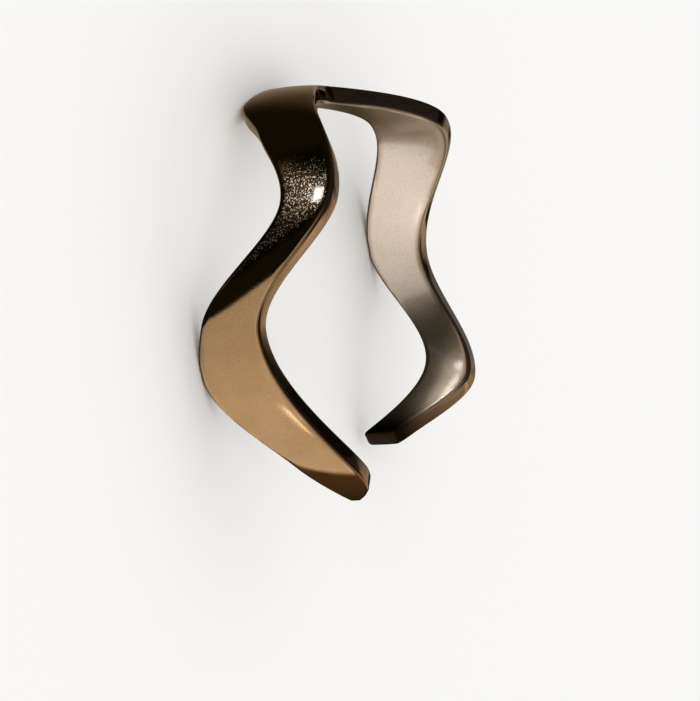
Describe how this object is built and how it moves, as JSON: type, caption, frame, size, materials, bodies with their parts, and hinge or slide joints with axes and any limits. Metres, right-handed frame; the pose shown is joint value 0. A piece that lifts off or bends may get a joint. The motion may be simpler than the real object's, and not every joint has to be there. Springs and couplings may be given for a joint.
{
  "type": "adjustable finger ring",
  "caption": "Open finger ring: a flat gold-toned band that waves up and down round the finger, with free rounded ends that bend closer or wider to fit.",
  "frame": {"origin": "on the finger axis, at the level of the surface that the ring lies on", "axes": "+Z along the finger axis, up from the surface; +Y from the axis towards the middle of the band, away from the gap between the tips; +X across, to the right of +Y seen from above"},
  "size_m": [0.019, 0.0185, 0.0065],
  "materials": {
    "gold": "warm gold-toned plating, satin with a fine grain, softened edges"
  },
  "bodies": {
    "root": {"band": "gold"}
  },
  "joints": []
}
